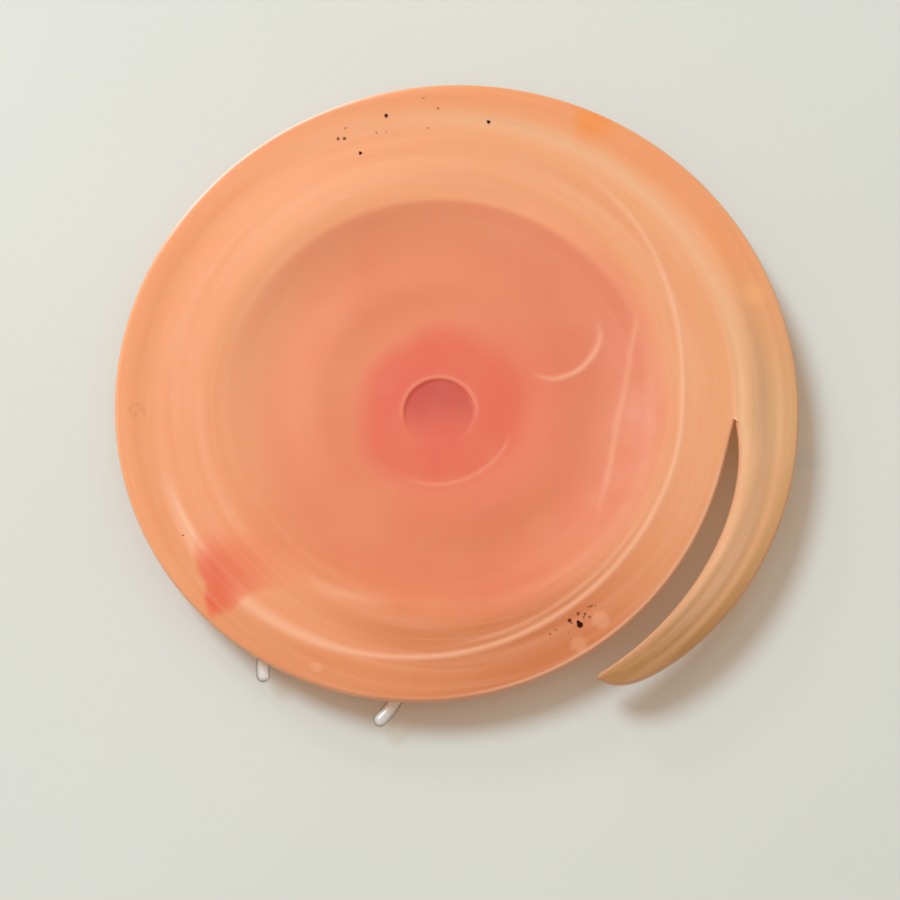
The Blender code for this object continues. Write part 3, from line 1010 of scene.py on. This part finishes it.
def make_jaw(name, side):
    """One arm of the clip: a round wire along the clip's circle, with a round tip."""
    root = radians(SADDLE_DEG) + HAIR / CLIP_R
    end = radians(JAW_END_DEG)
    stations = []
    for share in np.linspace(0, 1, JAW_STATIONS):
        stations.append((root + (end - root) * share, WIRE_R + (WIRE_TIP_R - WIRE_R) * share))
    for bow in np.linspace(0, pi / 2, JAW_TIP_STATIONS)[1:-1]:
        stations.append((end + WIRE_TIP_R * sin(bow) / CLIP_R, WIRE_TIP_R * cos(bow)))
    sections = []
    for angle, wire in stations:
        thick = wire - HAIR
        section = []
        for k in range(WIRE_SIDES):
            around = tau * k / WIRE_SIDES
            z = CLIP_Z + thick * sin(around)
            section.append(clip_point(CLIP_R + thick * cos(around), side * angle, z))
        sections.append(section)
    return capped(name, sections, smooth_deg=60.0)


# Materials

class Nodes:
    """Short way to add nodes to a material and join them."""

    def __init__(self, name):
        self.material = bpy.data.materials.new(name)
        self.material.use_nodes = True
        self.tree = self.material.node_tree
        self.shader = self.tree.nodes["Principled BSDF"]
        self.output = self.tree.nodes["Material Output"]

    def add(self, kind, inputs=None, **settings):
        node = self.tree.nodes.new(kind)
        for key, value in settings.items():
            setattr(node, key, value)
        for key, value in (inputs or {}).items():
            self.put(node.inputs[key], value)
        return node

    def put(self, socket, value):
        if isinstance(value, bpy.types.NodeSocket):
            self.tree.links.new(value, socket)
        else:
            socket.default_value = value

    def surface(self, name, value):
        self.put(self.shader.inputs[name], value)

    def bump(self, height, strength, distance):
        node = self.add("ShaderNodeBump", {"Height": height, "Strength": strength, "Distance": distance})
        self.surface("Normal", node.outputs["Normal"])

    def attribute(self, name, output="Vector"):
        return self.add("ShaderNodeAttribute", attribute_name=name).outputs[output]

    def noise(self, vector, scale, detail=3.0, roughness=0.5, distortion=0.0):
        node = self.add("ShaderNodeTexNoise", {"Vector": vector, "Scale": scale, "Detail": detail,
                                               "Roughness": roughness, "Distortion": distortion})
        return node.outputs["Fac"]

    def span(self, value, low, high, to_low=0.0, to_high=1.0):
        node = self.add("ShaderNodeMapRange", {"Value": value, "From Min": low, "From Max": high,
                                               "To Min": to_low, "To Max": to_high})
        return node.outputs["Result"]

    def maths(self, operation, a, b):
        return self.add("ShaderNodeMath", {0: a, 1: b}, operation=operation).outputs["Value"]

    def vector(self, operation, *inputs):
        node = self.add("ShaderNodeVectorMath", dict(enumerate(inputs)), operation=operation)
        return node.outputs["Value" if operation == "DISTANCE" else "Vector"]

    def mix(self, share, a, b):
        """A colour between a and b. The node's colour sockets are 6 and 7, and 2 on its way out."""
        node = self.add("ShaderNodeMix", data_type="RGBA", clamp_factor=True)
        self.put(node.inputs["Factor"], share)
        self.put(node.inputs[6], a)
        self.put(node.inputs[7], b)
        return node.outputs[2]

    def shadow_through(self, tint):
        """Let the lamps' light pass, coloured, so that the shadow is warm and soft."""
        clear = self.add("ShaderNodeBsdfTransparent", {"Color": (*tint, 1.0)})
        path = self.add("ShaderNodeLightPath")
        mix = self.add("ShaderNodeMixShader", {0: path.outputs["Is Shadow Ray"]})
        self.tree.links.new(self.shader.outputs["BSDF"], mix.inputs[1])
        self.tree.links.new(clear.outputs["BSDF"], mix.inputs[2])
        self.tree.links.new(mix.outputs["Shader"], self.output.inputs["Surface"])


def rgba(rgb):
    return (*linear(rgb).tolist(), 1.0)


def clouded(nodes, colour, rest, flow):
    """Cloudy patches everywhere, and streaks round the cap outside its floor."""
    cloud = nodes.noise(rest, scale=80.0, roughness=0.55, distortion=0.6)
    colour = nodes.mix(nodes.span(cloud, 0.40, 0.75, to_high=0.14), colour, rgba(PALE_RGB))
    radius = nodes.add("ShaderNodeSeparateXYZ", {0: flow}).outputs["X"]
    outside = nodes.span(radius, FLOOR_R - WALL_SOFT, STEP_R)
    streak = nodes.span(nodes.noise(flow, scale=0.95, roughness=0.55), 0.45, 0.70, to_high=0.20)
    colour = nodes.mix(nodes.maths("MULTIPLY", streak, outside), colour, rgba(LINE_RGB))
    dull = nodes.span(nodes.noise(flow, scale=0.6, detail=2.0), 0.50, 0.75, to_high=0.14)
    return nodes.mix(nodes.maths("MULTIPLY", dull, outside), colour, rgba(RIM_SHADE_AND_DULL_RGB))


def coral_material(name, specks):
    """Milky plastic: its painted colour, clouded, with a satin surface and fine grain."""
    nodes = Nodes(name)
    rest = nodes.attribute("rest")
    colour = clouded(nodes, nodes.attribute("tint", "Color"), rest, nodes.attribute("flow"))
    gloss = CORAL_GLOSS
    if specks:
        colour = nodes.mix(stain_share(nodes, rest), colour, rgba(STAIN_RGB))
        dirt = speck_share(nodes, rest)
        colour = nodes.mix(dirt, colour, rgba(SPECK_RGB))
        gloss = nodes.span(dirt, 0.0, 1.0, CORAL_GLOSS, SPECK_GLOSS)
    nodes.surface("Base Color", colour)
    nodes.surface("Specular IOR Level", gloss)
    rough = nodes.noise(rest, scale=260.0, detail=4.0)
    nodes.surface("Roughness", nodes.span(rough, 0.3, 0.7, to_low=0.46, to_high=0.60))
    nodes.bump(nodes.noise(rest, scale=2600.0), strength=0.05, distance=0.0001)
    soft = nodes.attribute("soft", "Fac")
    nodes.surface("Subsurface Weight", nodes.maths("MULTIPLY", soft, SPREAD_WEIGHT))
    nodes.surface("Subsurface Radius", SPREAD_RADIUS)
    nodes.surface("Subsurface Scale", SPREAD_SCALE)
    nodes.shadow_through(CORAL_SHADOW)
    return nodes.material


def apart(nodes, point, u, v):
    """Distance over the surface from the mark at a pixel, in metres."""
    place = seen(u, v, ON_RIM) * MM
    return nodes.vector("DISTANCE", point, (place[0], place[1], 0.0))


def speck_share(nodes, rest):
    """Share of dirt: small ragged specks on the rim's upper side."""
    noise = nodes.add("ShaderNodeTexNoise", {"Vector": rest, "Scale": 5000.0, "Detail": 2.0})
    reach = (2 * RAGGED, 2 * RAGGED, 0.0)
    pull = nodes.vector("MULTIPLY_ADD", noise.outputs["Color"], reach, (-RAGGED, -RAGGED, 0.0))
    flat = nodes.vector("MULTIPLY_ADD", rest, FLAT, pull)
    total = 0.0
    for u, v, size, strength in SPECKS_PX:
        radius = size * PIXEL * MM
        spot = nodes.span(apart(nodes, flat, u, v), radius * 1.3, radius * 0.8, to_high=strength)
        total = nodes.maths("MAXIMUM", total, spot)
    height = nodes.add("ShaderNodeSeparateXYZ", {0: rest}).outputs["Z"]
    upper = nodes.span(height, (RIM_Z - 0.3) * MM, (RIM_Z - 0.1) * MM)
    return nodes.maths("MULTIPLY", total, upper)


def stain_share(nodes, rest):
    """A faint smudge on the left of the rim."""
    flat = nodes.vector("MULTIPLY", rest, FLAT)
    near = nodes.span(apart(nodes, flat, *STAIN_PX), 0.0011, 0.0004)
    mottle = nodes.span(nodes.noise(rest, scale=1500.0), 0.48, 0.66, to_high=0.5)
    return nodes.maths("MULTIPLY", mottle, near)


def clear_material():
    """Clear plastic, with a white core and darker outlines painted by how squarely it faces, which stand in
    for its highlights and the dark refraction at its edges.
    """
    nodes = Nodes("clear_clip")
    place = nodes.add("ShaderNodeTexCoord").outputs["Object"]
    facing = nodes.add("ShaderNodeLayerWeight", {"Blend": 0.5}).outputs["Facing"]
    # Painted highlight where the clip faces the eye, painted dark refraction towards its outlines
    nodes.surface("Base Color", nodes.mix(nodes.span(facing, 0.12, 0.60), CLEAR_CORE_HIGHLIGHT, CLEAR_OUTLINE_SHADE))
    haze = nodes.noise(place, scale=900.0)
    nodes.surface("Roughness", nodes.span(haze, 0.3, 0.7, to_low=0.04, to_high=0.12))
    nodes.surface("Transmission Weight", 0.5)
    nodes.surface("IOR", CLEAR_IOR)
    nodes.bump(nodes.noise(place, scale=700.0), strength=0.08, distance=0.0002)
    nodes.shadow_through(CLEAR_SHADOW)
    return nodes.material


def table_material():
    """A dull pale table with a faint haze."""
    nodes = Nodes("table")
    place = nodes.add("ShaderNodeTexCoord").outputs["Object"]
    haze = nodes.noise(place, scale=18.0, detail=2.0)
    pale = linear(TABLE_RGB)
    colour = nodes.mix(nodes.span(haze, 0.3, 0.7), (*(pale * 0.97), 1.0), (*pale, 1.0))
    nodes.surface("Base Color", colour)
    nodes.surface("Roughness", 0.9)
    nodes.surface("Specular IOR Level", 0.1)
    return nodes.material


# Scene

def dress(obj, material, node, body):
    obj.data.materials.append(material)
    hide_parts(node)
    if body:
        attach(obj, body)
    return obj


def bend(obj):
    """Move a piece's place into its mesh."""
    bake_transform(obj)


def make_pieces():
    coral = coral_material("coral_plastic", specks=True)
    coral_plain = coral_material("coral_plastic_clean", specks=False)
    clear = clear_material()
    dress(make_body(), coral, "cap_body", "cap")
    tail = dress(make_tail(), coral_plain, "rim_tail", None)
    root = polar((rim_radius(0.0) + rim_radius(1.0)) / 2, 0.0, RIM_Z)
    bend(tail)
    dress(make_collar(), coral_plain, "centre_collar", "cap")
    dress(make_plug(), coral_plain, "centre_plug", "cap")
    dress(make_gusset(), coral_plain, "rim_gusset", "cap")
    dress(make_saddle(), clear, "clip_saddle", "cap")
    for hand, side in (("left", -1), ("right", 1)):
        jaw = dress(make_jaw(f"{hand}_jaw_skin", side), clear, f"clip_jaw_{hand}", None)
        root = clip_point(CLIP_R, side * radians(SADDLE_DEG), CLIP_Z)
        bent = clip_point(CLIP_R, side * radians(SADDLE_DEG + JAW_BEND_DEG), CLIP_Z)
        bend(jaw)


def make_table():
    mesh = bpy.data.meshes.new("table")
    half = 1.5
    drop = 0.00002
    corners = [(-half, -half, 0), (half, -half, 0), (half, half, 0), (-half, half, 0)]
    mesh.from_pydata(corners, [], [(0, 1, 2, 3)])
    table = bpy.data.objects.new("table", mesh)
    table.location.z = -drop
    mesh.materials.append(table_material())
    bpy.context.scene.collection.objects.link(table)


def add_light(name, place, size, power, colour):
    lamp = bpy.data.lights.new(name, "AREA")
    lamp.shape = "DISK"
    lamp.size = size
    lamp.energy = power
    lamp.color = colour
    obj = bpy.data.objects.new(name, lamp)
    obj.location = place
    obj.rotation_euler = (-Vector(place)).to_track_quat("-Z", "Y").to_euler()
    bpy.context.scene.collection.objects.link(obj)


def make_lamps():
    add_light("key", place=(-0.31, 0.26, 0.58), size=0.24, power=2.9, colour=(1.0, 1.01, 1.05))
    add_light("back", place=(-0.35, 0.45, 0.35), size=0.12, power=0.4, colour=(1.0, 1.0, 1.0))


def make_room():
    """Light of the room, mostly from above. What the eye, gloss and clear plastic see of it is even."""
    world = bpy.data.worlds.new("room")
    world.use_nodes = True
    tree = world.node_tree
    sky = tree.nodes["Background"]
    sky.inputs["Color"].default_value = ROOM_COLOUR
    place = tree.nodes.new("ShaderNodeTexCoord")
    split = tree.nodes.new("ShaderNodeSeparateXYZ")
    tree.links.new(place.outputs["Generated"], split.inputs[0])
    height = tree.nodes.new("ShaderNodeMapRange")
    for name, value in (("From Min", 0.1), ("From Max", 0.9), ("To Min", 0.04), ("To Max", 0.66)):
        height.inputs[name].default_value = value
    tree.links.new(split.outputs["Z"], height.inputs["Value"])
    path = tree.nodes.new("ShaderNodeLightPath")
    direct = path.outputs["Is Camera Ray"]
    for name in ("Is Glossy Ray", "Is Transmission Ray"):
        either = tree.nodes.new("ShaderNodeMath")
        either.operation = "MAXIMUM"
        tree.links.new(direct, either.inputs[0])
        tree.links.new(path.outputs[name], either.inputs[1])
        direct = either.outputs["Value"]
    choose = tree.nodes.new("ShaderNodeMix")
    tree.links.new(direct, choose.inputs["Factor"])
    tree.links.new(height.outputs["Result"], choose.inputs["A"])
    choose.inputs["B"].default_value = ROOM_SEEN
    tree.links.new(choose.outputs["Result"], sky.inputs["Strength"])
    bpy.context.scene.world = world


def make_camera():
    data = bpy.data.cameras.new("camera")
    data.sensor_width = SENSOR
    data.lens = FOCAL * SENSOR / PICTURE
    data.clip_start = 0.01
    camera = bpy.data.objects.new("camera", data)
    camera.location = Vector(CAMERA * MM)
    camera.rotation_euler = Vector(AIM - CAMERA).to_track_quat("-Z", "Y").to_euler()
    bpy.context.scene.collection.objects.link(camera)
    bpy.context.scene.camera = camera


make_pieces()
make_table()
make_lamps()
make_room()
make_camera()
bpy.context.scene.view_settings.view_transform = "Standard"
